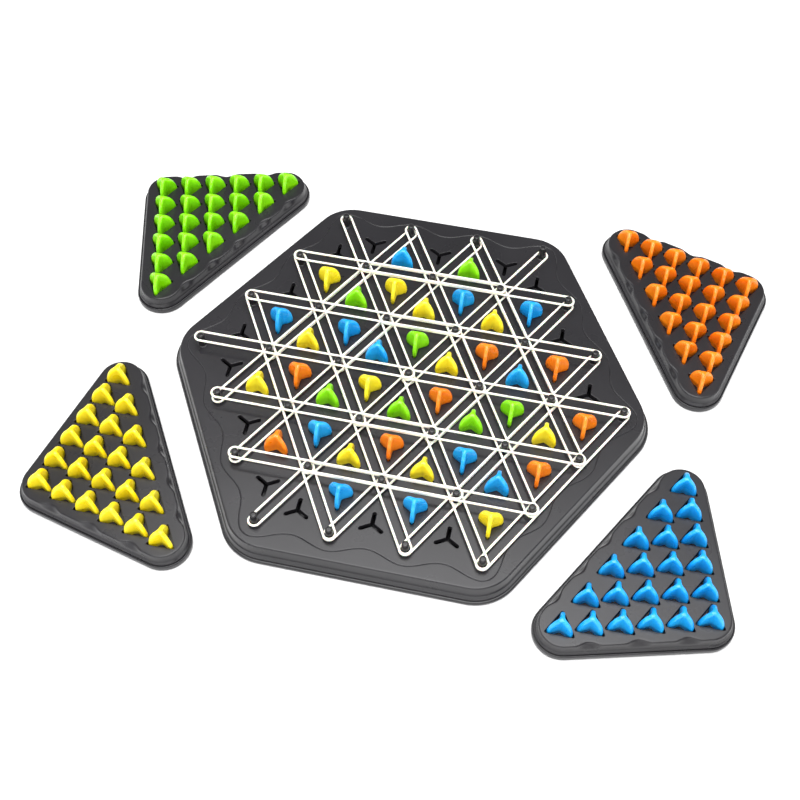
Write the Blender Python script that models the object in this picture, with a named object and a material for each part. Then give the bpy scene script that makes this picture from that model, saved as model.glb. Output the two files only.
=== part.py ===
"""Triangle-and-rubber-band board game, all sizes in millimetres until mesh data is written.

The set is a hexagonal board made of a moulded deck with pegs and Y slots over a flanged base,
elastic bands looped over the pegs, four triangular trays and three-finned tokens.
X runs along the peg rows, -Y is the side nearest the players, Z is up.
The origin is the middle of the board's underside, on the table.
"""
import math

import bmesh
import bpy

MM = 0.001

# Peg lattice
PITCH = 36.0                # distance between neighbouring pegs
SIDE_GAPS = 3               # peg gaps along one side of the hexagon
PEG_FOOT_RADIUS = 2.0
PEG_TOP_RADIUS = 1.7
PEG_EDGE_ROUND = 0.7        # rounding of the peg's top edge
PEG_SIDES = 8
PEG_ABOVE_BANDS = 0.45      # how far a peg stands above the highest band

# Deck
DECK_TOP = 11.2             # deck surface above the table
DECK_MARGIN = 12.35         # from the outer peg row to the deck's top edge
DECK_CORNER = 20.8          # corner radius of the deck's top edge
DECK_PLATE = 2.4            # thickness of the deck's plate
DECK_WALL = 2.0
DECK_STEP_Z = 6.2           # height of the small ledge half way down the wall
DECK_DRAFT_UPPER = 0.7      # how far the wall leans out down to the ledge
DECK_STEP = 0.5             # width of that ledge
DECK_DRAFT_LOWER = 0.9      # how far it leans out below the ledge

# Wavy groove around the peg field
GROOVE_MEAN = 4.95          # mean distance outside the outer peg row
GROOVE_WAVE = 2.4           # half the height of its waves
GROOVE_WIDTH = 0.8
GROOVE_DEPTH = 0.35
GROOVE_STEPS = 8            # straight pieces per wave

# Base
BASE_FLANGE = 3.3           # how far the flange stands out from the deck's top edge
BASE_FLANGE_TOP = 2.4
BASE_FLOOR = 2.0
BASE_LIP = 1.6              # thickness of the lip inside the deck's wall
BASE_LIP_TOP = 5.0

# Rubber bands
BAND_WIDTH = 1.0
BAND_LIFT = 0.45            # underside of the lowest band above the deck
BAND_GAP = 0.35             # clear height between one level of bands and the next
BAND_LEVELS = 6
BAND_SPAN = 3               # peg gaps that one band spans
BAND_THICK = 0.8
BAND_SIDES = 5              # straight pieces in each end of a band

# Tokens
TOKEN_HEIGHT = 12.2         # above the surface that its fins stand on
TOKEN_ARM = 6.6
TOKEN_FIN = 2.2             # thickness of a fin
TOKEN_FILLET = 0.9          # extra material in each corner between fins
FOOT_DEPTH = 2.0
FOOT_END_INSET = 0.2        # the foot's arms are this much shorter than the fins
FOOT_SIDE_INSET = 0.45      # and thinner than them by this much on each side

# Trays
TRAY_COUNT = 6              # tokens along one leg
TRAY_WEB = 0.7              # thinnest wall between neighbouring recesses
TRAY_LEG_MARGIN = 9.9       # from the outer tokens to the edge of a leg
TRAY_HYP_MARGIN = 11.0      # from the slanting row to the long edge
TRAY_CORNER = 11.0
TRAY_TOP = 9.5
TRAY_FLANGE = 2.8
TRAY_FLANGE_TOP = 3.4
TRAY_LEDGE = 1.1            # width of the flange's flat top
RECESS_DEPTH = 3.9
SOCKET_DEPTH = 2.6
SCALLOP_WIDTH = 12.0
SCALLOP_DEPTH = 1.7
LEG_SCALLOP_PITCH = 22.3
LEG_SCALLOPS = 3

GAP = 0.3                   # clearance between pieces that touch or fit together

# Where the trays stand: direction that the long edge faces, clear space between its flange
# and the board's flange, how far the tray is shifted along the board's side,
# and whether the scallops are on the first leg or the second.
TRAYS = {
    "blue": (150.0, 15.2, -4.3, False),
    "orange": (208.7, 18.7, 5.8, True),
    "yellow": (30.8, 14.2, -1.7, True),
    "green": (-30.0, 17.0, -5.8, False),
}

# Tokens standing on the board: strip between two peg rows counted from the back,
# place in the strip counted from the left.
BOARD_TOKENS = {
    "blue": ((1, 2), (2, 7), (3, 1), (6, 2)),
    "green": ((1, 4), (2, 2), (3, 5), (4, 7)),
    "yellow": ((2, 1), (3, 2), (4, 1), (6, 6)),
    "orange": ((3, 9), (4, 2), (5, 1), (5, 8)),
}

MATERIALS = {
    "graphite_abs": ((0.060, 0.058, 0.064), 0.38),
    "graphite_base": ((0.050, 0.049, 0.054), 0.42),
    "cream_elastic": ((0.90, 0.86, 0.74), 0.60),
    "blue_gloss": ((0.012, 0.300, 0.830), 0.20),
    "green_gloss": ((0.160, 0.740, 0.004), 0.20),
    "yellow_gloss": ((0.910, 0.690, 0.010), 0.20),
    "orange_gloss": ((0.910, 0.210, 0.008), 0.20),
}

ROW_STEP = PITCH * math.sqrt(3.0) / 2.0
BAND_LEVEL = BAND_THICK + BAND_GAP
PEG_HEIGHT = BAND_LIFT + BAND_LEVELS * BAND_LEVEL + PEG_ABOVE_BANDS
FOOT_ARM = TOKEN_ARM - FOOT_END_INSET
FOOT_FIN = TOKEN_FIN - 2.0 * FOOT_SIDE_INSET
SLOT_ARM = FOOT_ARM + GAP
SLOT_WIDTH = FOOT_FIN + 2.0 * GAP
RECESS_TIP = TOKEN_ARM + TOKEN_FIN / 2.0 + 2.0 * GAP
# Two recesses side by side: a point of one beside the next one's flat side.
TRAY_PITCH = (TRAY_WEB + 1.5 * RECESS_TIP) / math.cos(math.radians(15.0))
BOARD_HALF_WIDTH = SIDE_GAPS * ROW_STEP + DECK_MARGIN + BASE_FLANGE


def material(name):
    found = bpy.data.materials.get(name)
    if found:
        return found
    colour, roughness = MATERIALS[name]
    made = bpy.data.materials.new(name)
    made.use_nodes = True
    shader = made.node_tree.nodes["Principled BSDF"]
    shader.inputs["Base Color"].default_value = (*colour, 1.0)
    shader.inputs["Roughness"].default_value = roughness
    shader.inputs["Metallic"].default_value = 0.0
    return made


def new_object(name, bm, material_name, parent=None, smooth=None):
    bmesh.ops.recalc_face_normals(bm, faces=bm.faces)
    mesh = bpy.data.meshes.new(name)
    bm.to_mesh(mesh)
    bm.free()
    mesh.materials.append(material(material_name))
    if smooth:
        mesh.shade_smooth()
        mesh.set_sharp_from_angle(angle=math.radians(smooth))
    obj = bpy.data.objects.new(name, mesh)
    bpy.context.scene.collection.objects.link(obj)
    obj.parent = parent
    return obj


def add_empty(name, x, y, z, turn=0.0):
    empty = bpy.data.objects.new(name, None)
    empty.location = (x * MM, y * MM, z * MM)
    empty.rotation_euler = (0.0, 0.0, math.radians(turn))
    bpy.context.scene.collection.objects.link(empty)
    return empty


def add_loft(bm, rings, closed=False):
    """Rings of (x, y, z) joined side to side; closed joins the last ring to the first."""
    made = []
    for ring in rings:
        made.append([bm.verts.new((x * MM, y * MM, z * MM)) for x, y, z in ring])
    count = len(made[0])
    pairs = list(zip(made, made[1:]))
    if closed:
        pairs.append((made[-1], made[0]))
    for low, high in pairs:
        for i in range(count):
            j = (i + 1) % count
            bm.faces.new((low[i], low[j], high[j], high[i]))
    if not closed:
        bm.faces.new(made[0][::-1])
        bm.faces.new(made[-1])


def add_cutter(name, bm):
    cutter = new_object(name, bm, "graphite_base")
    cutter.hide_render = True
    cutter.display_type = "WIRE"
    return cutter


def add_boolean(obj, cutter, operation):
    modifier = obj.modifiers.new(operation.title() + "_" + cutter.name, "BOOLEAN")
    modifier.operation = operation
    modifier.solver = "EXACT"
    modifier.object = cutter


def peg_places():
    """Centres of the pegs, row by row from the back, each row from the left."""
    rows = []
    for row in range(-SIDE_GAPS, SIDE_GAPS + 1):
        count = 2 * SIDE_GAPS + 1 - abs(row)
        y = -row * ROW_STEP
        rows.append([((i - (count - 1) / 2.0) * PITCH, y) for i in range(count)])
    return rows


def slot_places(strip):
    """Centre and turn of each Y slot in a strip between two peg rows, from the left."""
    rows = peg_places()
    upper = rows[strip - 1]
    lower = rows[strip]
    places = []
    for (x0, y0), (x1, _) in zip(upper, upper[1:]):
        places.append(((x0 + x1) / 2.0, y0 - ROW_STEP / 3.0, -90.0))
    for (x0, y0), (x1, _) in zip(lower, lower[1:]):
        places.append(((x0 + x1) / 2.0, y0 + ROW_STEP / 3.0, 90.0))
    return sorted(places)


def hexagon_ring(half_width, radius, z, steps=5):
    """Regular hexagon with corners on the X axis, its corners rounded to the radius."""
    reach = (half_width - radius) / math.cos(math.radians(30.0))
    ring = []
    for k in range(6):
        middle = math.radians(60.0 * k)
        for s in range(steps + 1):
            angle = middle + math.radians(-30.0 + 60.0 * s / steps)
            x = reach * math.cos(middle) + radius * math.cos(angle)
            y = reach * math.sin(middle) + radius * math.sin(angle)
            ring.append((x, y, z))
    return ring


def deck_ring(outset, z):
    half_width = SIDE_GAPS * ROW_STEP + DECK_MARGIN + outset
    return hexagon_ring(half_width, DECK_CORNER + outset, z)


def y_outline(arm, width, turn, x=0.0, y=0.0, z=0.0, fillet=0.0, blunt=False):
    """Three arms 120 degrees apart, with a corner between each pair.

    The arms' ends are square, or tapered to less than half their width where blunt is set.
    """
    half = width / 2.0
    end = [(arm, -half), (arm, half)]
    if blunt:
        end = [(arm - half, -half), (arm, -0.4 * half), (arm, 0.4 * half), (arm - half, half)]
    ring = []
    for k in range(3):
        angle = math.radians(turn + 120.0 * k)
        ca, sa = math.cos(angle), math.sin(angle)
        for reach, side in end:
            ring.append((x + reach * ca - side * sa, y + reach * sa + side * ca, z))
        corner = width / math.sqrt(3.0) + fillet
        between = angle + math.radians(60.0)
        ring.append((x + corner * math.cos(between), y + corner * math.sin(between), z))
    return ring


def circle_ring(x, y, radius, z, sides, turn=0.0):
    ring = []
    for i in range(sides):
        angle = turn + 2.0 * math.pi * i / sides
        ring.append((x + radius * math.cos(angle), y + radius * math.sin(angle), z))
    return ring


def groove_path():
    """Closed line that swells out beside each outer peg and dips between pegs."""
    line = []
    for k in range(6):
        start = math.radians(60.0 * k)
        corner = (SIDE_GAPS * PITCH * math.cos(start), SIDE_GAPS * PITCH * math.sin(start))
        along = math.radians(60.0 * k + 120.0)
        out = math.radians(60.0 * k + 30.0)
        for i in range(SIDE_GAPS * GROOVE_STEPS + 1):
            phase = i / GROOVE_STEPS
            away = GROOVE_MEAN + GROOVE_WAVE * math.cos(2.0 * math.pi * phase)
            x = corner[0] + phase * PITCH * math.cos(along) + away * math.cos(out)
            y = corner[1] + phase * PITCH * math.sin(along) + away * math.sin(out)
            line.append((x, y))
        middle = math.radians(60.0 * (k + 1))
        away = GROOVE_MEAN + GROOVE_WAVE
        for turn in (-10.0, 10.0):
            angle = middle + math.radians(turn)
            x = SIDE_GAPS * PITCH * math.cos(middle) + away * math.cos(angle)
            y = SIDE_GAPS * PITCH * math.sin(middle) + away * math.sin(angle)
            line.append((x, y))
    return line


def add_groove(bm):
    path = groove_path()
    count = len(path)
    rings = [[], [], []]
    for i in range(count):
        x0, y0 = path[i - 1]
        x1, y1 = path[(i + 1) % count]
        length = math.hypot(x1 - x0, y1 - y0)
        nx, ny = (y1 - y0) / length, (x0 - x1) / length
        x, y = path[i]
        wide = GROOVE_WIDTH * 1.5
        rings[0].append((x - nx * wide, y - ny * wide, DECK_TOP + GROOVE_DEPTH * 2.0))
        rings[1].append((x, y, DECK_TOP - GROOVE_DEPTH))
        rings[2].append((x + nx * wide, y + ny * wide, DECK_TOP + GROOVE_DEPTH * 2.0))
    add_loft(bm, rings, closed=True)


def add_pegs(bm):
    root = DECK_TOP - DECK_PLATE / 2.0
    top = DECK_TOP + PEG_HEIGHT
    for row in peg_places():
        for x, y in row:
            add_loft(bm, [
                circle_ring(x, y, PEG_FOOT_RADIUS, root, PEG_SIDES),
                circle_ring(x, y, PEG_TOP_RADIUS, top - PEG_EDGE_ROUND, PEG_SIDES),
                circle_ring(x, y, PEG_TOP_RADIUS - PEG_EDGE_ROUND, top, PEG_SIDES),
            ])


def build_deck():
    wall_bottom = BASE_FLANGE_TOP + GAP
    upper = DECK_DRAFT_UPPER
    ledge = upper + DECK_STEP
    lower = ledge + DECK_DRAFT_LOWER
    bm = bmesh.new()
    add_loft(bm, [
        deck_ring(-DECK_WALL, DECK_TOP - DECK_PLATE),
        deck_ring(lower - DECK_WALL, wall_bottom),
        deck_ring(lower, wall_bottom),
        deck_ring(ledge, DECK_STEP_Z - DECK_STEP / 2.0),
        deck_ring(upper, DECK_STEP_Z),
        deck_ring(0.0, DECK_TOP),
    ])
    deck = new_object("deck", bm, "graphite_abs")

    bm = bmesh.new()
    add_pegs(bm)
    add_boolean(deck, add_cutter("peg_set", bm), "UNION")

    bm = bmesh.new()
    for strip in range(1, 2 * SIDE_GAPS + 1):
        for x, y, turn in slot_places(strip):
            low = y_outline(SLOT_ARM, SLOT_WIDTH, turn, x, y, DECK_TOP - DECK_PLATE - 1.0)
            high = y_outline(SLOT_ARM, SLOT_WIDTH, turn, x, y, DECK_TOP + 1.0)
            add_loft(bm, [low, high])
    add_groove(bm)
    add_boolean(deck, add_cutter("slot_set", bm), "DIFFERENCE")


def build_base():
    inner_bottom = DECK_DRAFT_UPPER + DECK_STEP + DECK_DRAFT_LOWER - DECK_WALL
    inner_top = -DECK_WALL
    wall_bottom = BASE_FLANGE_TOP + GAP
    wall_top = DECK_TOP - DECK_PLATE
    share = (BASE_LIP_TOP - wall_bottom) / (wall_top - wall_bottom)
    lip = inner_bottom + (inner_top - inner_bottom) * share - GAP
    bm = bmesh.new()
    add_loft(bm, [
        deck_ring(BASE_FLANGE - GAP, 0.0),
        deck_ring(BASE_FLANGE, BASE_FLANGE_TOP / 2.0),
        deck_ring(BASE_FLANGE - GAP, BASE_FLANGE_TOP),
        deck_ring(lip, BASE_FLANGE_TOP),
        deck_ring(lip, BASE_LIP_TOP),
        deck_ring(lip - BASE_LIP, BASE_LIP_TOP),
        deck_ring(lip - BASE_LIP, BASE_FLOOR),
    ])
    new_object("base", bm, "graphite_base")


def band_ring(x0, y0, x1, y1, radius, z):
    """Stadium outline around the two end pegs of a band."""
    along = math.atan2(y1 - y0, x1 - x0)
    ring = []
    for x, y, start in ((x1, y1, along - math.pi / 2.0), (x0, y0, along + math.pi / 2.0)):
        for i in range(BAND_SIDES + 1):
            angle = start + math.pi * i / BAND_SIDES
            ring.append((x + radius * math.cos(angle), y + radius * math.sin(angle), z))
    return ring


def build_band(name, start, end, level):
    inner = PEG_FOOT_RADIUS + GAP
    inner = inner / math.cos(math.pi / (2.0 * BAND_SIDES))
    outer = inner + BAND_WIDTH
    low = DECK_TOP + BAND_LIFT + level * BAND_LEVEL
    high = low + BAND_THICK
    ends = (start[0], start[1], end[0], end[1])
    bm = bmesh.new()
    add_loft(bm, [
        band_ring(*ends, outer, low),
        band_ring(*ends, outer, high),
        band_ring(*ends, inner, high),
        band_ring(*ends, inner, low),
    ], closed=True)
    new_object(name, bm, "cream_elastic")


def peg_lines(turn):
    """The peg rows seen after turning the lattice, each as a list of real peg centres."""
    ca, sa = math.cos(math.radians(turn)), math.sin(math.radians(turn))
    lines = []
    for row in peg_places():
        lines.append([(x * ca - y * sa, x * sa + y * ca) for x, y in row])
    return lines


def build_bands():
    # Direction a runs along X on top, c leans left in the middle, b leans right underneath.
    for letter, turn, level in (("a", 0.0, 4), ("c", -60.0, 2), ("b", 60.0, 0)):
        lines = peg_lines(turn)
        for k in range(1, 2 * SIDE_GAPS):
            pegs = lines[k]
            build_band(f"band_{letter}{k}_1", pegs[0], pegs[BAND_SPAN], level + 1)
            build_band(f"band_{letter}{k}_2", pegs[-1 - BAND_SPAN], pegs[-1], level)
    edge = peg_lines(60.0)[-1]
    build_band("band_b_edge", edge[0], edge[-1], 1)


def token_rings():
    """Fins whose reach follows a quarter ellipse from foot to apex."""
    rings = [
        y_outline(FOOT_ARM, FOOT_FIN, 90.0, z=-FOOT_DEPTH, blunt=True),
        y_outline(FOOT_ARM, FOOT_FIN, 90.0, z=GAP, blunt=True),
    ]
    for share in (0.0, 0.42, 0.72, 0.92, 1.0):
        height = GAP + share * (TOKEN_HEIGHT - GAP)
        reach = TOKEN_ARM * math.sqrt(max(0.0, 1.0 - share ** 2.2))
        reach = max(reach, TOKEN_FIN * 0.8)
        fillet = TOKEN_FILLET * (1.0 - share)
        rings.append(y_outline(reach, TOKEN_FIN * (1.0 - 0.35 * share), 90.0,
                               z=height, fillet=fillet, blunt=True))
    return rings


def build_token(name, colour, x, y, z, turn):
    holder = add_empty(name + "_lift", x, y, z, turn - 90.0)
    bm = bmesh.new()
    add_loft(bm, token_rings())
    new_object(name, bm, colour + "_gloss", holder, smooth=40.0)


def build_board_tokens():
    for colour, spots in BOARD_TOKENS.items():
        for number, (strip, place) in enumerate(spots, start=1):
            x, y, turn = slot_places(strip)[place]
            build_token(f"token_{colour}_{number}", colour, x, y, DECK_TOP, turn)


def tray_outline(outset, z, scallop_depth, scallops_first):
    """Right-angled triangle with rounded corners, legs along +X and +Y from the corner token.

    The long edge has a scallop between each two tokens, one leg has a wider row of them.
    """
    leg = -(TRAY_LEG_MARGIN + outset)
    radius = TRAY_CORNER + outset
    run = (TRAY_COUNT - 1) * TRAY_PITCH
    long_edge = run + (TRAY_HYP_MARGIN + outset) * math.sqrt(2.0)
    near = leg + radius
    far = long_edge - radius * math.sqrt(2.0) - near
    corners = ((near, near, 180.0, 90.0), (far, near, 270.0, 135.0), (near, far, 45.0, 135.0))
    half = SCALLOP_WIDTH / 2.0
    ring = []
    for number, (cx, cy, first, sweep) in enumerate(corners):
        for s in range(6):
            angle = math.radians(first + sweep * s / 5.0)
            ring.append((cx + radius * math.cos(angle), cy + radius * math.sin(angle), z))
        if number == 0 and scallops_first:
            for k in range(LEG_SCALLOPS):
                middle = run / 2.0 + (k - (LEG_SCALLOPS - 1) / 2.0) * LEG_SCALLOP_PITCH
                for shift, depth in ((-half, 0.0), (-half / 2.0, 0.75), (half / 2.0, 0.75), (half, 0.0)):
                    ring.append((middle + shift, leg + depth * scallop_depth, z))
        if number == 1:
            for k in range(TRAY_COUNT - 1):
                middle = run - (k + 0.5) * TRAY_PITCH
                for shift, depth in ((-half, 0.0), (-half / 2.0, 0.75), (half / 2.0, 0.75), (half, 0.0)):
                    along = shift / math.sqrt(2.0)
                    back = depth * scallop_depth / math.sqrt(2.0)
                    edge = (long_edge - run) / 2.0
                    x = middle - along + edge - back
                    y = run - middle + along + edge - back
                    ring.append((x, y, z))
        if number == 2 and not scallops_first:
            for k in range(LEG_SCALLOPS):
                middle = run / 2.0 - (k - (LEG_SCALLOPS - 1) / 2.0) * LEG_SCALLOP_PITCH
                for shift, depth in ((half, 0.0), (half / 2.0, 0.75), (-half / 2.0, 0.75), (-half, 0.0)):
                    ring.append((leg + depth * scallop_depth, middle + shift, z))
    return ring


def tray_spots():
    """Token places in a tray, counted from the right-angled corner."""
    spots = []
    for i in range(TRAY_COUNT):
        for j in range(TRAY_COUNT - i):
            spots.append((i * TRAY_PITCH, j * TRAY_PITCH))
    return spots


def recess_outline(x, y, z):
    """Triangle that clears a token's fins by the gap, one point towards the tray's corner."""
    return circle_ring(x, y, RECESS_TIP, z, 3, math.radians(225.0))


def tray_corner(facing, standoff, slide):
    """Centre of the token in the right-angled corner of a tray beside the board."""
    away = BOARD_HALF_WIDTH + standoff + TRAY_FLANGE + TRAY_HYP_MARGIN
    away += (TRAY_COUNT - 1) * TRAY_PITCH / math.sqrt(2.0)
    angle = math.radians(facing + 180.0)
    x = away * math.cos(angle) - slide * math.sin(angle)
    y = away * math.sin(angle) + slide * math.cos(angle)
    return x, y


def build_tray(colour, facing, standoff, slide, scallops_first):
    x, y = tray_corner(facing, standoff, slide)
    holder = add_empty(f"tray_{colour}_lift", x, y, 0.0, facing - 45.0)
    crease = TRAY_FLANGE - TRAY_LEDGE
    bm = bmesh.new()
    add_loft(bm, [
        tray_outline(TRAY_FLANGE - GAP, 0.0, 0.0, scallops_first),
        tray_outline(TRAY_FLANGE, TRAY_FLANGE_TOP / 2.0, 0.0, scallops_first),
        tray_outline(TRAY_FLANGE - GAP, TRAY_FLANGE_TOP, 0.0, scallops_first),
        tray_outline(crease, TRAY_FLANGE_TOP, 0.0, scallops_first),
        tray_outline(0.0, TRAY_TOP, SCALLOP_DEPTH, scallops_first),
    ])
    tray = new_object(f"tray_{colour}", bm, "graphite_abs", holder)

    floor = TRAY_TOP - RECESS_DEPTH
    bm = bmesh.new()
    for sx, sy in tray_spots():
        add_loft(bm, [recess_outline(sx, sy, floor), recess_outline(sx, sy, TRAY_TOP + 1.0)])
    recesses = add_cutter(f"recess_set_{colour}", bm)
    recesses.parent = holder
    add_boolean(tray, recesses, "DIFFERENCE")

    bm = bmesh.new()
    for sx, sy in tray_spots():
        low = y_outline(SLOT_ARM, SLOT_WIDTH, 225.0, sx, sy, floor - SOCKET_DEPTH)
        high = y_outline(SLOT_ARM, SLOT_WIDTH, 225.0, sx, sy, floor + 1.0)
        add_loft(bm, [low, high])
    sockets = add_cutter(f"socket_set_{colour}", bm)
    sockets.parent = holder
    add_boolean(tray, sockets, "DIFFERENCE")
    build_token(f"token_{colour}_tray", colour, x, y, floor, facing + 180.0)


def main():
    for obj in list(bpy.data.objects):
        bpy.data.objects.remove(obj, do_unlink=True)
    build_base()
    build_deck()
    build_bands()
    build_board_tokens()
    for colour, (facing, standoff, slide, scallops_first) in TRAYS.items():
        build_tray(colour, facing, standoff, slide, scallops_first)


main()
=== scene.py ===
"""Looks of a triangle-and-rubber-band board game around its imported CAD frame.

Shapes are worked out in millimetres, in the frame of the CAD model: X along the peg rows,
-Y towards the players, Z up from the table. They are turned to metres when they become meshes.
"""
import math

import bmesh
import bpy
import numpy as np
from mathutils import Matrix, Vector
from mathutils.geometry import delaunay_2d_cdt


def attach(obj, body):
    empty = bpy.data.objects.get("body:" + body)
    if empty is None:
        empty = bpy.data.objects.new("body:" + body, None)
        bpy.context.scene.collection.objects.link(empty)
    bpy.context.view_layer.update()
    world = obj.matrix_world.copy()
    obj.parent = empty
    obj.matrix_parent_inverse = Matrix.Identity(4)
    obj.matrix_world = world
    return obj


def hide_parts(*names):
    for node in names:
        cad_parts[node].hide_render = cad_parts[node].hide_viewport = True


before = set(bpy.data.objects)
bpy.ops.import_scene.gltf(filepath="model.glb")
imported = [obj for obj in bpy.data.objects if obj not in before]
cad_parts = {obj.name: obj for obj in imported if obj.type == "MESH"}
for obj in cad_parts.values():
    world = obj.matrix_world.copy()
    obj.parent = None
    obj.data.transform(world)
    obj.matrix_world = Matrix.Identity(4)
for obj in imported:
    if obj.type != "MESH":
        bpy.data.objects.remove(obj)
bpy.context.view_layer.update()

MM = 0.001

# Peg lattice and deck
PITCH = 36.0
SIDE_GAPS = 3
ROW_STEP = PITCH * math.sqrt(3.0) / 2.0
DECK_TOP = 11.2
DECK_MARGIN = 12.35
DECK_CORNER = 20.8
DECK_PLATE = 2.4
DECK_EDGE = 0.8         # radius of the rim's top edge
EDGE_FLAT = 0.4         # flat strip of faces inside a rounded top edge, deck and trays
DECK_BOTTOM = 2.7
DECK_HALF_WIDTH = SIDE_GAPS * ROW_STEP + DECK_MARGIN
PEG_HEIGHT = 8.1
PEG_FOOT_RADIUS = 2.0
PEG_TOP_RADIUS = 1.7
SLOT_ARM = 6.7
SLOT_WIDTH = 1.9
SLOT_RIM = 0.30         # flat ring of faces round a slot, outside its rounded lip
SLOT_TAPER = 0.28       # how much closer a slot's walls are at the bottom, each
GROOVE_MEAN = 4.95      # wavy groove's mean distance outside the outer peg row
GROOVE_WAVE = 2.4
STEPS = 16              # columns along a side of a lattice triangle, and round a third of a Y
FAN = 12                # columns round each corner of the board

# Bands
BAND_LIFT = 0.45        # space under the lowest level
BAND_THICK = 0.8
BAND_LEVEL = 1.15       # from one level to the next
BAND_HALF_WIDTH = 0.56
BAND_HALF_HEIGHT = 0.52
BAND_SPAN = 3           # peg spaces that a band covers
BAND_LOOP = 2.8         # radius of its middle line round a peg

# Tokens
TOKEN_HEIGHT = 12.2
TOKEN_ARM = 6.6
TOKEN_BOTTOM = 0.3
FOOT_DEPTH = 2.0
FOOT_ARM = 6.4
FOOT_FIN = 1.3
FOOT_BLEND = 0.04
FOOT_EASE = 0.95        # the foot is drawn this much smaller, to stand clear of its slot
FIN_HALF = 1.02
FIN_BLEND = 0.24
FIN_EDGE = 3.0          # power that sets how square the fins' edges are, 2 is round
FIN_BELLY = 2.2         # height of the fins' longest reach
FIN_TUCK = 4.2          # half height of the ellipse that they follow below it

# Trays
TRAY_WEB = 0.7          # wall between two recesses
RECESS_TIP = 8.3
RECESS_CORNER = 0.7
RECESS_RIM = 0.34       # flat ring of faces round a recess, outside its rounded lip
TRAY_PITCH = (TRAY_WEB + 1.5 * RECESS_TIP) / math.cos(math.radians(15.0))
TRAY_COUNT = 6          # recesses along a leg
TRAY_TURN = 225.0       # a recess points an arm at the tray's right angle
TRAY_LEG_MARGIN = 9.9
TRAY_HYP_MARGIN = 11.0
TRAY_CORNER = 11.0
TRAY_CROWN = 0.04       # swell at the middle of a straight edge
TRAY_EDGE = 0.7         # radius of the top edge
TRAY_TOP = 9.5
TRAY_FLANGE = 2.8
TRAY_FLANGE_TOP = 3.4
RECESS_DEPTH = 3.9
SOCKET_DEPTH = 2.6
SCALLOP_DEPTH = 1.9
SCALLOP_HALF = 6.8      # half of a scallop's length along the edge
SCALLOP_DROP = 3.0
LEG_SCALLOP_PITCH = 22.3

# Base
BASE_FLANGE = 3.3
BASE_FLANGE_TOP = 2.4
BASE_LIP = 5.0
BASE_FLOOR = 2.0
BOARD_HALF_WIDTH = DECK_HALF_WIDTH + BASE_FLANGE

# Direction that the long edge faces, space to the board, shift along it, scallops on first leg
TRAYS = {
    "blue": (150.0, 15.2, -4.3, False),
    "orange": (208.7, 18.7, 5.8, True),
    "yellow": (30.8, 14.2, -1.7, True),
    "green": (-30.0, 17.0, -5.8, False),
}

# Tokens in the six strips between peg rows, from the back, left to right; a dot is an empty slot.
STRIPS = ("..B.G..", ".YGYYBYB.", ".BYBBGYOBO.", ".YOGYGOGGYO", ".OBYOYBBO", "..B.B.Y")
COLOUR_OF = {"B": "blue", "G": "green", "Y": "yellow", "O": "orange"}

# Tokens that the CAD model has as moving bodies: strip and place, in the order of their names.
LIFTED = {
    "blue": ((1, 2), (2, 7), (3, 1), (6, 2)),
    "green": ((1, 4), (2, 2), (3, 5), (4, 7)),
    "yellow": ((2, 1), (3, 2), (4, 1), (6, 6)),
    "orange": ((3, 9), (4, 2), (5, 1), (5, 8)),
}


# ---------------------------------------------------------------- meshes

def ring_faces(rows, columns, wrap=False):
    """Quads of a grid whose rows each close on themselves; wrap also joins last row to first."""
    r, c = np.meshgrid(np.arange(rows if wrap else rows - 1), np.arange(columns), indexing="ij")
    low = r * columns
    high = ((r + 1) % rows) * columns
    after = (c + 1) % columns
    return np.stack([low + c, low + after, high + after, high + c], -1).reshape(-1, 4)


def shell(rows, cap_first=True, cap_last=True):
    """Closed rings of points joined side to side, with a pole in the middle of an end ring."""
    rows = np.asarray(rows, float)
    count, columns = rows.shape[:2]
    points = rows.reshape(-1, 3)
    faces = ring_faces(count, columns).tolist()
    here = np.arange(columns)
    after = (here + 1) % columns
    for wanted, row in ((cap_first, 0), (cap_last, count - 1)):
        if wanted:
            pole = np.full(columns, len(points))
            points = np.vstack([points, rows[row].mean(0)])
            start = row * columns
            faces += np.stack([pole, start + here, start + after], -1).tolist()
    return points, faces


def joined(shells):
    """Several (points, faces) as one pair."""
    points, faces, start = [], [], 0
    for some_points, some_faces in shells:
        points.append(some_points)
        faces += [[i + start for i in face] for face in some_faces]
        start += len(some_points)
    return np.vstack(points), faces


def turned(points, degrees, x=0.0, y=0.0, z=0.0):
    """Points turned about Z, then moved."""
    a = math.radians(degrees)
    spin = np.array([[math.cos(a), math.sin(a), 0.0], [-math.sin(a), math.cos(a), 0.0],
                     [0.0, 0.0, 1.0]])
    return points @ spin + np.array([x, y, z])


def piece(name, body, finish, shells, nodes=(), sharp=40.0):
    """A closed mesh object from shells, welded where they share points, faces outwards."""
    points, faces = joined(shells)
    mesh = bpy.data.meshes.new(name)
    mesh.from_pydata((points * MM).tolist(), [], faces)
    work = bmesh.new()
    work.from_mesh(mesh)
    bmesh.ops.remove_doubles(work, verts=work.verts, dist=0.002 * MM)
    bmesh.ops.recalc_face_normals(work, faces=work.faces)
    work.to_mesh(mesh)
    work.free()
    mesh.shade_smooth()
    mesh.set_sharp_from_angle(angle=math.radians(sharp))
    mesh.materials.append(finish)
    obj = bpy.data.objects.new(name, mesh)
    bpy.context.scene.collection.objects.link(obj)
    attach(obj, body)
    if nodes:
        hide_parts(*nodes)


def on_plane(flat, z):
    """(N, 2) points lifted to a height."""
    return np.column_stack([flat, np.full(len(flat), float(z))])


def heading(degrees):
    """Unit vectors in the plane at these angles."""
    a = np.radians(degrees)
    return np.stack([np.cos(a), np.sin(a)], -1)


# ---------------------------------------------------------------- finishes

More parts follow.
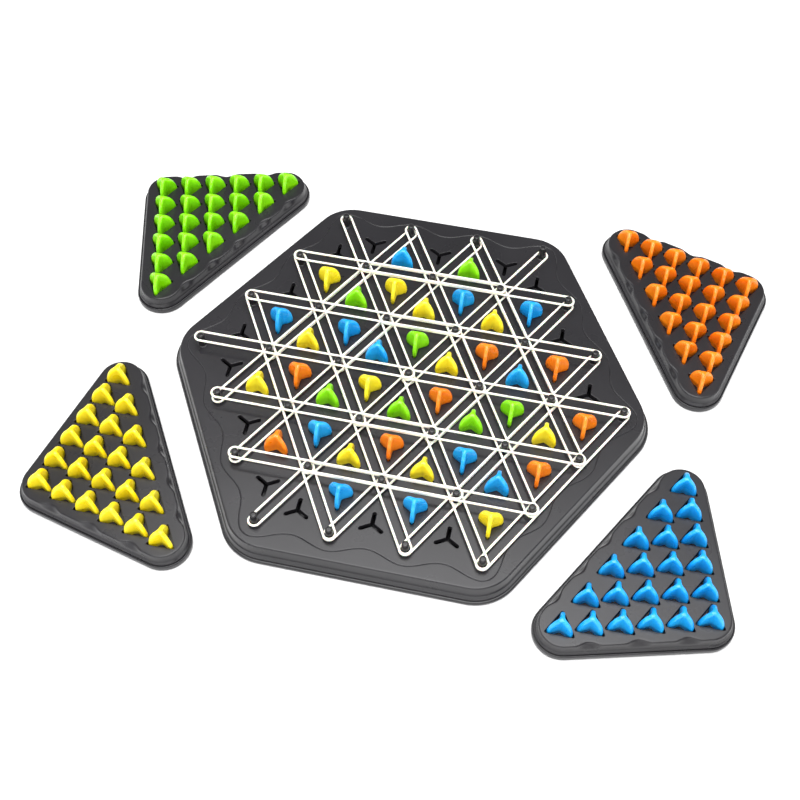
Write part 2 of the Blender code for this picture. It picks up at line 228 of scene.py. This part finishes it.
def linear(code):
    """sRGB hex code to linear red, green, blue and alpha."""
    parts = np.array([int(code[i:i + 2], 16) for i in (1, 3, 5)]) / 255.0
    low = parts / 12.92
    high = ((parts + 0.055) / 1.055) ** 2.4
    return (*np.where(parts <= 0.04045, low, high).tolist(), 1.0)


def add_node(tree, kind, inputs=None, **settings):
    """Adds a shader node, sets its properties, and sets or links its inputs."""
    made = tree.nodes.new(kind)
    for key, value in settings.items():
        setattr(made, key, value)
    for key, value in (inputs or {}).items():
        if isinstance(value, bpy.types.NodeSocket):
            tree.links.new(value, made.inputs[key])
        else:
            made.inputs[key].default_value = value
    return made


def ramp(tree, factor, stops):
    """A colour ramp through (position, hex code) stops."""
    made = add_node(tree, "ShaderNodeValToRGB", {"Fac": factor})
    band = made.color_ramp
    while len(band.elements) < len(stops):
        band.elements.new(0.5)
    for element, (position, code) in zip(band.elements, stops):
        element.position = position
        element.color = linear(code)
    return made.outputs["Color"]


def spread(tree, factor, low, high):
    """Stretches a 0 to 1 value to a range."""
    made = add_node(tree, "ShaderNodeMapRange", {"Value": factor, "To Min": low, "To Max": high})
    return made.outputs["Result"]


def start_finish(name):
    """A new material with its node tree, shader and object coordinates."""
    made = bpy.data.materials.new(name)
    made.use_nodes = True
    tree = made.node_tree
    coords = add_node(tree, "ShaderNodeTexCoord").outputs["Object"]
    return made, tree, tree.nodes["Principled BSDF"], coords


def noise(tree, coords, size_mm, detail=2.0, roughness=0.5):
    """Noise whose blobs are about size_mm across."""
    made = add_node(tree, "ShaderNodeTexNoise", {
        "Vector": coords, "Scale": 1.0 / (size_mm * MM), "Detail": detail,
        "Roughness": roughness})
    return made.outputs["Fac"]


def moulded_abs(name, dark, light, rough_low, rough_high, grain):
    """Injection-moulded ABS with a spark-eroded grain: satin, the grain breaks up reflections.

    The real grain is about 0.1 mm, too fine to show, so it is drawn 0.7 mm across.
    Flow marks 45 mm across vary the grey very slightly, and handling varies the gloss.
    """
    made, tree, shader, coords = start_finish(name)
    flow = noise(tree, coords, 45.0, 2.0)
    fine = noise(tree, coords, 0.7, 1.0)
    handled = noise(tree, coords, 16.0, 3.0)
    tree.links.new(ramp(tree, flow, ((0.35, dark), (0.65, light))), shader.inputs["Base Color"])
    tree.links.new(spread(tree, handled, rough_low, rough_high), shader.inputs["Roughness"])
    bump = add_node(tree, "ShaderNodeBump", {"Height": fine, "Strength": grain,
                                            "Distance": 0.05 * MM})
    tree.links.new(bump.outputs["Normal"], shader.inputs["Normal"])
    shader.inputs["IOR"].default_value = 1.44
    return made


def glossy_abs(name, deep, bright):
    """Injection-moulded coloured ABS from a polished mould: glossy, faintly translucent.

    A little subsurface scattering softens the fins; sink marks 5 mm across bend reflections.
    """
    made, tree, shader, coords = start_finish(name)
    flow = noise(tree, coords, 9.0, 1.0)
    sink = noise(tree, coords, 5.0, 1.0)
    tree.links.new(ramp(tree, flow, ((0.3, deep), (0.7, bright))), shader.inputs["Base Color"])
    tree.links.new(spread(tree, flow, 0.24, 0.32), shader.inputs["Roughness"])
    bump = add_node(tree, "ShaderNodeBump", {"Height": sink, "Strength": 0.15,
                                            "Distance": 0.1 * MM})
    tree.links.new(bump.outputs["Normal"], shader.inputs["Normal"])
    shader.inputs["IOR"].default_value = 1.53
    shader.inputs["Subsurface Weight"].default_value = 0.12
    shader.inputs["Subsurface Scale"].default_value = 1.0 * MM
    shader.inputs["Subsurface Radius"].default_value = (1.0, 0.8, 0.6)
    return made


def natural_rubber():
    """Extruded and cut natural rubber band: creamy, matt, with talc that pales it in patches.

    Talc patches are 3 mm long; the cut surface has a 0.4 mm ripple.
    """
    made, tree, shader, coords = start_finish("natural_rubber")
    talc = noise(tree, coords, 3.0, 2.0)
    ripple = noise(tree, coords, 0.4, 1.0)
    tree.links.new(ramp(tree, talc, ((0.3, "#F8F3E2"), (0.7, "#FFFDF2"))),
                   shader.inputs["Base Color"])
    tree.links.new(spread(tree, talc, 0.50, 0.62), shader.inputs["Roughness"])
    bump = add_node(tree, "ShaderNodeBump", {"Height": ripple, "Strength": 0.2,
                                            "Distance": 0.05 * MM})
    tree.links.new(bump.outputs["Normal"], shader.inputs["Normal"])
    shader.inputs["IOR"].default_value = 1.52
    shader.inputs["Subsurface Weight"].default_value = 0.15
    shader.inputs["Subsurface Scale"].default_value = 0.8 * MM
    return made


DECK_ABS = moulded_abs("moulded_abs_deck", "#201F22", "#262528", 0.25, 0.31, 0.2)
BASE_ABS = moulded_abs("moulded_abs_base", "#201F22", "#262528", 0.24, 0.30, 0.2)
TRAY_ABS = moulded_abs("moulded_abs_tray", "#201F22", "#262528", 0.25, 0.31, 0.2)
PEG_ABS = moulded_abs("moulded_abs_peg", "#1E1D1F", "#232224", 0.24, 0.32, 0.1)
RUBBER = natural_rubber()
GLOSS = {
    "blue": glossy_abs("glossy_abs_blue", "#0E98E8", "#20AAF2"),
    "green": glossy_abs("glossy_abs_green", "#7EDC00", "#92EC14"),
    "yellow": glossy_abs("glossy_abs_yellow", "#FADE14", "#FFEC30"),
    "orange": glossy_abs("glossy_abs_orange", "#F6780A", "#FE8E1A"),
}


# ---------------------------------------------------------------- lattice

def peg_rows(turn=0.0):
    """Centres of the pegs, row by row from the back, after turning the lattice."""
    rows = []
    for row in range(-SIDE_GAPS, SIDE_GAPS + 1):
        count = 2 * SIDE_GAPS + 1 - abs(row)
        x = (np.arange(count) - (count - 1) / 2.0) * PITCH
        flat = np.column_stack([x, np.full(count, -row * ROW_STEP), np.zeros(count)])
        rows.append(turned(flat, turn)[:, :2])
    return rows


def slot_places(strip):
    """(x, y, turn) of each Y slot in a strip between two peg rows, from the left."""
    rows = peg_rows()
    places = []
    for row, side, turn in ((rows[strip - 1], -1.0, -90.0), (rows[strip], 1.0, 90.0)):
        middles = (row[:-1] + row[1:]) / 2.0
        places += [(x, y + side * ROW_STEP / 3.0, turn) for x, y in middles.tolist()]
    return sorted(places)


# ---------------------------------------------------------------- deck

def y_outline(arm, width, out=0.0):
    """Three arms with round ends, 3 * STEPS points, an arm's tip first, pushed out evenly.

    Half an arm is a quarter circle of radius width / 2 round its end, then a straight side
    to the notch 60 degrees from the arm.
    """
    radius = width / 2.0 + out
    end = arm - width / 2.0
    round_end = np.array([end, 0.0]) + radius * heading(np.array([0.0, 30.0, 60.0, 90.0]))
    notch = radius / math.tan(math.radians(60.0))
    along = end + (notch - end) * np.array([0.28, 0.56, 0.80, 0.94, 1.0])
    half = np.vstack([round_end, np.column_stack([along, np.full(5, radius)])])
    mirrored = half[1:-1][::-1] * np.array([1.0, -1.0])
    thirds = []
    for k in range(3):
        this_arm = turned(on_plane(half, 0.0), 120.0 * k)
        next_arm = turned(on_plane(mirrored, 0.0), 120.0 * (k + 1))
        thirds += [this_arm, next_arm]
    return np.vstack(thirds)[:, :2]


def triangle_border(reach):
    """Triangle with its points at reach, STEPS columns to a side, a point first."""
    tips = reach * heading(np.array([0.0, 120.0, 240.0]))
    share = np.arange(STEPS)[:, None] / STEPS
    return np.vstack([tips[k] * (1.0 - share) + tips[(k + 1) % 3] * share for k in range(3)])


def lip(radius, steps=4):
    """Quarter round from flat to upright: (outwards, down) pairs."""
    turn = np.radians(np.linspace(0.0, 90.0, steps))
    return np.column_stack([radius * (1.0 - np.sin(turn)), radius * (1.0 - np.cos(turn))])


def deck_cell():
    """One lattice triangle of the deck's plate with its Y slot, top, walls and underside.

    Rows run from the triangle's border in to the slot's rounded lip, down its wall, and back
    out to the border underneath.
    """
    border = triangle_border(PITCH / math.sqrt(3.0))
    rows = [on_plane(border, DECK_TOP)]
    rows.append(on_plane(y_outline(SLOT_ARM, SLOT_WIDTH, SLOT_RIM), DECK_TOP))
    for out, down in lip(0.2):
        rows.append(on_plane(y_outline(SLOT_ARM, SLOT_WIDTH, out), DECK_TOP - down))
    under = DECK_TOP - DECK_PLATE
    rows.append(on_plane(y_outline(SLOT_ARM, SLOT_WIDTH, -SLOT_TAPER), under))
    rows.append(on_plane(border, under))
    return shell(rows, False, False)


def rim_columns(per_pitch, fan):
    """Columns round the hexagon: start on the outer peg row, outward direction, place in
    peg pitches from a peg, and the corner or side that the deck's rim follows.
    """
    start, outward, phase, rim, share = [], [], [], [], []
    for k in range(6):
        corner = heading(60.0 * k)
        bend = 60.0 * k + np.linspace(-30.0, 30.0, fan + 1)
        start.append(np.repeat((SIDE_GAPS * PITCH * corner)[None], fan + 1, 0))
        outward.append(heading(bend))
        phase.append(np.zeros(fan + 1))
        rim.append(np.full(fan + 1, k))
        share.append(np.full(fan + 1, -1.0))
        steps = np.arange(1, SIDE_GAPS * per_pitch) / per_pitch
        after = heading(60.0 * (k + 1))
        part = steps[:, None] / SIDE_GAPS
        start.append(SIDE_GAPS * PITCH * (corner * (1.0 - part) + after * part))
        outward.append(np.repeat(heading(60.0 * k + 30.0)[None], len(steps), 0))
        phase.append(steps)
        rim.append(np.full(len(steps), k))
        share.append(steps / SIDE_GAPS)
    return (np.vstack(start), np.vstack(outward), np.concatenate(phase),
            np.concatenate(rim), np.concatenate(share))


def rim_ring(columns, outset):
    """Rounded hexagon: an arc at each corner, and straight sides shared out evenly."""
    _, outward, _, corner, share = columns
    half_width = DECK_HALF_WIDTH + outset
    radius = DECK_CORNER + outset
    reach = (half_width - radius) / math.cos(math.radians(30.0))
    here = reach * heading(60.0 * corner)
    after = reach * heading(60.0 * (corner + 1))
    part = np.clip(share, 0.0, 1.0)[:, None]
    return here * (1.0 - part) + after * part + radius * outward


def deck_skirt():
    """From the outer peg row across the wavy groove to the rim, down the wall and back inside.

    The groove runs GROOVE_MEAN + GROOVE_WAVE * cos(one turn per peg pitch) outside the row.
    """
    columns = rim_columns(STEPS, FAN)
    start, outward, phase = columns[:3]
    away = GROOVE_MEAN + GROOVE_WAVE * np.cos(2.0 * math.pi * phase)
    rows = [on_plane(start, DECK_TOP)]
    groove = ((-0.50, 0.0), (-0.30, 0.0), (-0.18, 0.06), (-0.09, 0.17), (0.0, 0.21),
              (0.09, 0.17), (0.18, 0.06), (0.30, 0.0), (0.50, 0.0))
    for across, down in groove:
        rows.append(on_plane(start + outward * (away + across)[:, None], DECK_TOP - down))
    rows.append(on_plane(rim_ring(columns, -DECK_EDGE - EDGE_FLAT), DECK_TOP))
    for out, down in lip(DECK_EDGE, 6):
        rows.append(on_plane(rim_ring(columns, -out), DECK_TOP - down))
    wall = ((0.30, 8.6), (0.62, 6.9), (0.74, 6.45), (0.92, 6.22), (1.12, 6.14), (1.26, 5.98),
            (1.36, 5.6), (1.70, 4.4), (2.10, 3.0), (2.10, DECK_BOTTOM),
            (0.20, DECK_BOTTOM), (-2.0, DECK_TOP - DECK_PLATE))
    for outset, z in wall:
        rows.append(on_plane(rim_ring(columns, outset), z))
    rows.append(on_plane(start, DECK_TOP - DECK_PLATE))
    return shell(rows, False, False)


def peg(x, y):
    """Turned profile: a fillet at the foot, a slight taper and a rounded top with a flat."""
    height = PEG_HEIGHT
    profile = [(2.6, -0.6), (2.6, -0.02), (2.25, 0.06), (2.06, 0.25), (PEG_FOOT_RADIUS, 0.6),
               (PEG_TOP_RADIUS + 0.02, height - 0.75), (1.64, height - 0.45),
               (1.48, height - 0.2), (1.22, height - 0.06), (0.95, height), (0.5, height)]
    round_peg = heading(np.arange(24) * 15.0)
    rows = [on_plane(np.array([x, y]) + r * round_peg, DECK_TOP + z) for r, z in profile]
    return shell(rows)


def build_deck():
    """The deck's moulding from its skirt and 54 cells, and its pegs."""
    shells = [deck_skirt()]
    points, faces = deck_cell()
    for strip in range(1, 2 * SIDE_GAPS + 1):
        shells += [(turned(points, turn, x, y), faces) for x, y, turn in slot_places(strip)]
    piece("deck_moulding", "board", DECK_ABS, shells, ["deck"], 50.0)
    pegs = [peg(x, y) for row in peg_rows() for x, y in row.tolist()]
    piece("deck_pegs", "board", PEG_ABS, pegs, sharp=50.0)


def build_base():
    """Flanged dish under the deck: flat foot, rounded flange, upright lip, flat floor.

    The profile is (distance outside the deck's rim, height), carried round the hexagon.
    """
    columns = rim_columns(2, 24)
    top = BASE_FLANGE_TOP
    profile = [(1.6, 0.0), (2.5, 0.0), (2.9, 0.08), (3.18, 0.35), (BASE_FLANGE, 0.8),
               (BASE_FLANGE, 1.5), (3.2, 1.95), (2.95, 2.28), (2.6, top), (2.3, top),
               (-0.55, top), (-0.85, BASE_LIP), (-2.4, BASE_LIP), (-2.4, BASE_FLOOR)]
    rows = [on_plane(rim_ring(columns, outset), z) for outset, z in profile]
    piece("base_moulding", "board", BASE_ABS, [shell(rows)], ["base"], 50.0)


# ---------------------------------------------------------------- bands

def band(start, end, z):
    """An oval strand carried along a stadium path round two pegs, closed on itself."""
    run = end - start
    angle = math.degrees(math.atan2(run[1], run[0]))
    bend = np.linspace(-90.0, 90.0, 13)
    path, out = [], []
    for centre, turn in ((end, angle), (start, angle + 180.0)):
        around = heading(bend + turn)
        path.append(centre + BAND_LOOP * around)
        out.append(around)
    path, out = np.vstack(path), np.vstack(out)
    section = heading(np.arange(12) * 30.0) * np.array([BAND_HALF_WIDTH, BAND_HALF_HEIGHT])
    rows = path[:, None, :] + out[:, None, :] * section[None, :, :1]
    height = np.broadcast_to(z + section[None, :, 1], rows.shape[:2])
    points = np.dstack([rows, height]).reshape(-1, 3)
    return points, ring_faces(len(path), len(section), wrap=True).tolist()


def build_bands():
    """Two bands on each inner line of pegs in three directions, two levels to a direction.

    Direction a is on top, c in the middle and b underneath, where an edge line has one more.
    """
    low = DECK_TOP + BAND_LIFT + BAND_THICK / 2.0
    for letter, turn, level in (("a", 0.0, 4), ("c", -60.0, 2), ("b", 60.0, 0)):
        lines = peg_rows(turn)
        for k in range(1, 2 * SIDE_GAPS):
            row = lines[k]
            for number, start, end, step in ((1, row[0], row[BAND_SPAN], 1),
                                             (2, row[-1 - BAND_SPAN], row[-1], 0)):
                name = f"{letter}{k}_{number}"
                ring = band(start, end, low + BAND_LEVEL * (level + step))
                piece("elastic_" + name, "board", RUBBER, [ring], ["band_" + name],
                      60.0)
    edge = peg_rows(60.0)[-1]
    ring = band(edge[0], edge[-1], low + BAND_LEVEL)
    piece("elastic_b_edge", "board", RUBBER, [ring], ["band_b_edge"], 60.0)


# ---------------------------------------------------------------- tokens

def fin_distance(x, y, z, arm, height, half, blend):
    """Distance to three upright plates that meet on the axis, their edges rounded.

    Above the belly a plate's outline is a quarter ellipse of reach arm, below it a flatter
    ellipse tucks it in; both are shrunk by half. The distance outside the outline and the
    distance across the plate, both to the power FIN_EDGE, add up to a squarish rim. The three
    plates join as minus blend times the logarithm of the sum of exp(-distance / blend).
    """
    reach = arm - half
    if z > FIN_BELLY:
        top, z = height - half - FIN_BELLY, z - FIN_BELLY
    else:
        top, z = FIN_TUCK, FIN_BELLY - z
    total = 0.0
    for k in range(3):
        ux, uy = heading(120.0 * k)
        along = x * ux + y * uy
        across = -x * uy + y * ux
        s = np.maximum(along, 0.0)
        q = np.sqrt((s / reach) ** 2 + (z / top) ** 2) + 1e-9
        steep = np.sqrt((s / reach ** 2) ** 2 + (z / top ** 2) ** 2) + 1e-9
        outside = np.maximum((q - 1.0) * q / steep, 0.0)
        behind = np.maximum(-along, 0.0)
        powers = outside ** FIN_EDGE + np.abs(across) ** FIN_EDGE + behind ** FIN_EDGE
        gap = powers ** (1.0 / FIN_EDGE) - half
        total = total + np.exp(-gap / blend)
    return -blend * np.log(total)


def fin_ring(angles, z, arm, height, half, blend):
    """For each direction, the reach where fin_distance is zero, found by halving."""
    way = heading(angles)
    low, high = np.zeros(len(angles)), np.full(len(angles), arm + 1.5)
    for _ in range(26):
        middle = (low + high) / 2.0
        inside = fin_distance(way[:, 0] * middle, way[:, 1] * middle, z, arm, height, half,
                              blend) < 0.0
        low = np.where(inside, middle, low)
        high = np.where(inside, high, middle)
    return way * low[:, None]


def token_shape():
    """Three-finned token, an arm along +X, standing on z = 0, with a foot below."""
    half_turn = np.array([0.0, 4.5, 7.0, 9.5, 15.0, 27.0, 43.0])
    sector = np.concatenate([half_turn, [60.0], 120.0 - half_turn[:0:-1]])
    angles = np.concatenate([sector, sector + 120.0, sector + 240.0])
    foot = fin_ring(angles, FIN_BELLY, FOOT_ARM, TOKEN_HEIGHT, FOOT_FIN / 2.0, FOOT_BLEND)
    foot *= FOOT_EASE
    rows = [on_plane(foot * 0.97, -FOOT_DEPTH), on_plane(foot, 0.25 - FOOT_DEPTH),
            on_plane(foot, TOKEN_BOTTOM)]
    shape = (TOKEN_ARM, TOKEN_HEIGHT, FIN_HALF, FIN_BLEND)
    rows.append(on_plane(fin_ring(angles, TOKEN_BOTTOM, *shape) * 0.985, TOKEN_BOTTOM))
    climb = np.radians(np.array([0.0, 14.0, 26.0, 37.0, 47.0, 57.0, 67.0, 77.0]))
    top = TOKEN_HEIGHT
    above = FIN_BELLY + (top - FIN_BELLY) * np.sin(climb)
    for z in np.concatenate([[0.9], above, [top - 0.15]]).tolist():
        rows.append(on_plane(fin_ring(angles, z, *shape), z))
    points, faces = shell(rows)
    points[-1, 2] = top
    return points, faces


def build_tokens():
    """Tokens on the board: those with a joint are pieces of their own, the rest one a colour."""
    points, faces = token_shape()
    groups = {}
    for strip, row in enumerate(STRIPS, start=1):
        for place, (x, y, turn) in enumerate(slot_places(strip)):
            if row[place] == ".":
                continue
            colour = COLOUR_OF[row[place]]
            shape = (turned(points, turn, x, y, DECK_TOP), faces)
            if (strip, place) in LIFTED[colour]:
                number = LIFTED[colour].index((strip, place)) + 1
                node = f"token_{colour}_{number}"
                piece(f"fins_{colour}_{number}", node, GLOSS[colour], [shape], [node],
                      50.0)
            else:
                groups.setdefault(colour, []).append(shape)
    for colour, shapes in groups.items():
        piece(f"board_fins_{colour}", "board", GLOSS[colour], shapes,
              sharp=50.0)


# ---------------------------------------------------------------- trays

def recess_outline(out):
    """Triangle with rounded points, 3 * STEPS columns, a point first, pushed out evenly."""
    centre = RECESS_TIP - 2.0 * RECESS_CORNER
    radius = RECESS_CORNER + out
    bend = np.array([0.0, 15.0, 30.0, 45.0, 60.0])
    thirds = []
    for k in range(3):
        here = centre * heading(120.0 * k) + radius * heading(120.0 * k + bend)
        after = centre * heading(120.0 * (k + 1)) + radius * heading(120.0 * (k + 1) - bend[::-1])
        share = (np.arange(1, 8) / 8.0)[:, None]
        side = here[-1] * (1.0 - share) + after[0] * share
        thirds += [here, side, after[:-1]]
    return np.vstack(thirds)


def recess_shape():
    """A token's recess: rounded lip, wall, floor with a Y socket, socket wall and bottom."""
    floor = TRAY_TOP - RECESS_DEPTH
    rows = [on_plane(recess_outline(RECESS_RIM), TRAY_TOP)]
    for out, down in lip(0.24, 4):
        rows.append(on_plane(recess_outline(out), TRAY_TOP - down))
    rows.append(on_plane(recess_outline(-0.08), floor))
    rows.append(on_plane(y_outline(SLOT_ARM, SLOT_WIDTH, 0.0), floor))
    rows.append(on_plane(y_outline(SLOT_ARM, SLOT_WIDTH, 0.0), floor - SOCKET_DEPTH))
    return shell(rows, False, True)


def tray_columns(scallops_first):
    """Columns round a tray: start on the top edge, outward direction, depth of scallop 0 to 1.

    The outline is a right-angled triangle with arcs at its corners and edges that swell by
    TRAY_CROWN at their middles. A scallop's depth is half of one plus the cosine across it.
    """
    leg = -TRAY_LEG_MARGIN
    run = (TRAY_COUNT - 1) * TRAY_PITCH
    long_edge = run + TRAY_HYP_MARGIN * math.sqrt(2.0)
    near = leg + TRAY_CORNER
    far = long_edge - TRAY_CORNER * math.sqrt(2.0) - near
    corners = (np.array([near, near]), np.array([far, near]), np.array([near, far]))
    across = np.linspace(-SCALLOP_HALF, SCALLOP_HALF, 15)
    bite = 0.5 * (1.0 + np.cos(math.pi * across / SCALLOP_HALF))
    long_middle = np.arange(TRAY_COUNT - 1) - (TRAY_COUNT - 2) / 2.0
    leg_middle = (np.arange(3) - 1) * LEG_SCALLOP_PITCH
    start, outward, depth = [], [], []
    for number, (first, sweep) in enumerate(((180.0, 90.0), (270.0, 135.0), (45.0, 135.0))):
        bend = first + np.linspace(0.0, sweep, 19)
        start.append(corners[number] + TRAY_CORNER * heading(bend))
        outward.append(heading(bend))
        depth.append(np.zeros(19))
        facing = heading(first + sweep)
        along = np.array([-facing[1], facing[0]])
        origin = np.array([run / 2.0, run / 2.0])
        # The middle of the edge, which for a leg is the middle of its row of recesses.
        if number == 1:
            base = origin + facing * TRAY_HYP_MARGIN
            middles = long_middle * TRAY_PITCH * math.sqrt(2.0)
        elif (number == 0) == scallops_first:
            base = np.where(facing == facing.min(), leg, run / 2.0)
            middles = leg_middle
        else:
            continue
        place = (middles[:, None] + across[None, :]).reshape(-1)
        swell = TRAY_CROWN * np.clip(1.0 - (place / run) ** 2, 0.0, 1.0)
        start.append(base + along * place[:, None] + facing * swell[:, None])
        outward.append(np.repeat(facing[None], len(place), 0))
        depth.append(np.tile(bite, len(middles)))
    return np.vstack(start), np.vstack(outward), np.concatenate(depth)


def inside_loop(points, loop):
    """Even-odd test: counts the loop's edges that cross a level line right of each point."""
    x, y = points[:, :1], points[:, 1:2]
    x0, y0 = loop[:, 0][None], loop[:, 1][None]
    x1, y1 = np.roll(loop[:, 0], -1)[None], np.roll(loop[:, 1], -1)[None]
    level = (y0 > y) != (y1 > y)
    rise = np.where(level, y1 - y0, 1.0)
    crossing = level & (x < x0 + (y - y0) * (x1 - x0) / rise)
    return crossing.sum(1) % 2 == 1


def flat_face(loops, z):
    """Flat triangles that fill the first loop and leave the other, convex, loops open."""
    points = np.vstack(loops)
    sizes = [len(loop) for loop in loops]
    owner = np.repeat(np.arange(len(loops)), sizes)
    edges, first = [], 0
    for size in sizes:
        here = np.arange(size)
        edges.append(np.column_stack([first + here, first + (here + 1) % size]))
        first += size
    found = delaunay_2d_cdt([Vector(p) for p in points.tolist()],
                            np.vstack(edges).tolist(), [], 0, 1e-6)
    source = np.array([group[0] for group in found[3]])
    triangles = source[np.array([face for face in found[2]])]
    owners = owner[triangles]
    hole = (owners[:, 0] > 0) & (owners[:, 0] == owners[:, 1]) & (owners[:, 1] == owners[:, 2])
    kept = triangles[~hole]
    kept = kept[inside_loop(points[kept].mean(1), loops[0])]
    return on_plane(points, z), kept.tolist()


def tray_shape(scallops_first):
    """Body of a tray in its own frame: legs along +X and +Y from the corner token.

    A scallop is deepest at the top edge and runs out about SCALLOP_DROP down the wall. The
    wall's profile is (distance outside the top edge, height, share of the scallop's depth).
    """
    start, outward, depth = tray_columns(scallops_first)

    def ring(outset, z, share):
        """The outline this far outside the top edge, pressed in at the scallops."""
        return on_plane(start + outward * (outset - SCALLOP_DEPTH * depth * share)[:, None], z)

    spots = [(i * TRAY_PITCH, j * TRAY_PITCH) for i in range(TRAY_COUNT)
             for j in range(TRAY_COUNT - i)]
    top_loop = ring(-TRAY_EDGE - EDGE_FLAT, TRAY_TOP, 1.0)
    rows = [top_loop]
    for out, down in lip(TRAY_EDGE, 5):
        rows.append(ring(-out, TRAY_TOP - down, 1.0 - down / SCALLOP_DROP))
    wall = ((0.06, 8.0, 0.52), (0.10, 7.3, 0.24), (0.16, 6.7, 0.0), (0.24, 6.0, 0.0),
            (0.44, 5.3, 0.0), (0.80, 4.8, 0.0), (1.18, 4.45, 0.0), (1.38, 4.1, 0.0),
            (1.46, 3.7, 0.0), (1.50, 3.0, 0.0), (1.62, 3.0, 0.0), (1.68, 3.24, 0.0),
            (1.84, TRAY_FLANGE_TOP, 0.0), (2.06, TRAY_FLANGE_TOP, 0.0), (2.30, 3.26, 0.0),
            (2.43, 3.0, 0.0), (2.48, 2.6, 0.0), (2.48, 1.0, 0.0), (2.38, 0.35, 0.0),
            (2.0, 0.05, 0.0), (1.6, 0.0, 0.0))
    rows += [ring(outset, z, share * np.ones(len(depth))) for outset, z, share in wall]
    shells = [shell(rows, False, True)]
    hole = turned(on_plane(recess_outline(RECESS_RIM), 0.0), TRAY_TURN)[:, :2]
    shells.append(flat_face([top_loop[:, :2]] + [hole + np.array(s) for s in spots], TRAY_TOP))
    points, faces = recess_shape()
    shells += [(turned(points, TRAY_TURN, x, y), faces) for x, y in spots]
    return shells, spots


def build_trays():
    """Each tray's moulding, its corner token, which has a joint, and the 20 others as one."""
    token_points, token_faces = token_shape()
    for colour, (facing, standoff, slide, scallops_first) in TRAYS.items():
        away = BOARD_HALF_WIDTH + standoff + TRAY_FLANGE + TRAY_HYP_MARGIN
        away += (TRAY_COUNT - 1) * TRAY_PITCH / math.sqrt(2.0)
        inward = heading(facing + 180.0)
        x, y = away * inward + slide * np.array([-inward[1], inward[0]])
        turn = facing - 45.0
        shells, spots = tray_shape(scallops_first)
        body = f"tray_{colour}"
        placed = [(turned(points, turn, x, y), faces) for points, faces in shells]
        piece(f"{body}_moulding", body, TRAY_ABS, placed, [body], 50.0)
        floor = TRAY_TOP - RECESS_DEPTH
        tokens = [(turned(turned(token_points, TRAY_TURN, along, across, floor), turn, x, y),
                   token_faces) for along, across in spots]
        node = f"token_{colour}_tray"
        piece(f"fins_{colour}_tray", node, GLOSS[colour], tokens[:1], [node],
              50.0)
        piece(f"tray_fins_{colour}", body, GLOSS[colour], tokens[1:],
              sharp=50.0)


# ---------------------------------------------------------------- studio

def aim(obj, target):
    """Turns an object's -Z towards a point."""
    way = Vector(target) - obj.location
    obj.rotation_euler = way.to_track_quat("-Z", "Y").to_euler()


def softbox(name, place, target, size, power):
    """White rectangular area light, sizes in metres and power in watts."""
    lamp = bpy.data.lights.new(name, "AREA")
    lamp.shape = "RECTANGLE"
    lamp.size, lamp.size_y = size
    lamp.energy = power
    obj = bpy.data.objects.new(name, lamp)
    obj.location = place
    bpy.context.scene.collection.objects.link(obj)
    aim(obj, target)


def build_camera():
    """Camera over the near side: 57 degrees up, 11.6 degrees to the right, slightly rolled."""
    turn, tilt, roll = math.radians(11.617), math.radians(57.02), math.radians(0.4352)
    back = Vector((math.sin(turn) * math.cos(tilt), -math.cos(turn) * math.cos(tilt),
                   math.sin(tilt)))
    level = Vector((math.cos(turn), math.sin(turn), 0.0))
    upright = back.cross(level)
    right = math.cos(roll) * level + math.sin(roll) * upright
    up = -math.sin(roll) * level + math.cos(roll) * upright
    lens = bpy.data.cameras.new("camera")
    lens.lens = 55.4
    lens.sensor_width = 36.0
    obj = bpy.data.objects.new("camera", lens)
    place = Vector((65.67, -339.84, 526.17)) * MM
    obj.matrix_world = Matrix.Translation(place) @ Matrix((right, up, back)).transposed().to_4x4()
    bpy.context.scene.collection.objects.link(obj)
    bpy.context.scene.camera = obj


def build_floor():
    """Plain white table top; a little glow of its own keeps its shadows pale."""
    half = 6000.0
    flat = np.array([[-half, -half], [half, -half], [half, half], [-half, half]])
    mesh = bpy.data.meshes.new("floor")
    mesh.from_pydata((on_plane(flat, -0.05) * MM).tolist(), [], [[0, 1, 2, 3]])
    obj = bpy.data.objects.new("floor", mesh)
    bpy.context.scene.collection.objects.link(obj)
    paint = bpy.data.materials.new("floor_paint")
    paint.use_nodes = True
    shader = paint.node_tree.nodes["Principled BSDF"]
    shader.inputs["Base Color"].default_value = linear("#ECECEC")
    shader.inputs["Roughness"].default_value = 0.9
    shader.inputs["Specular IOR Level"].default_value = 0.1
    shader.inputs["Emission Color"].default_value = (1.0, 1.0, 1.0, 1.0)
    shader.inputs["Emission Strength"].default_value = 0.05
    mesh.materials.append(paint)


def build_lights():
    """Even white world, a softbox overhead and three low strips that shade the walls."""
    world = bpy.data.worlds.new("studio")
    world.use_nodes = True
    sky = world.node_tree.nodes["Background"]
    sky.inputs["Color"].default_value = (1.0, 1.0, 1.0, 1.0)
    sky.inputs["Strength"].default_value = 0.28
    bpy.context.scene.world = world
    softbox("top_softbox", (0.0, -0.10, 1.25), (0.0, -0.10, 0.0), (0.95, 1.3), 25.0)
    for name, x, y in (("front", 0.0, -1.3), ("left", -1.3, 0.1), ("right", 1.3, 0.1)):
        softbox(name + "_strip", (x, y, 0.45), (0.0, 0.0, 0.0), (2.2, 0.5), 10.0)
    bpy.context.scene.view_settings.view_transform = "Standard"


build_camera()
build_floor()
build_lights()
build_base()
build_deck()
build_bands()
build_tokens()
build_trays()
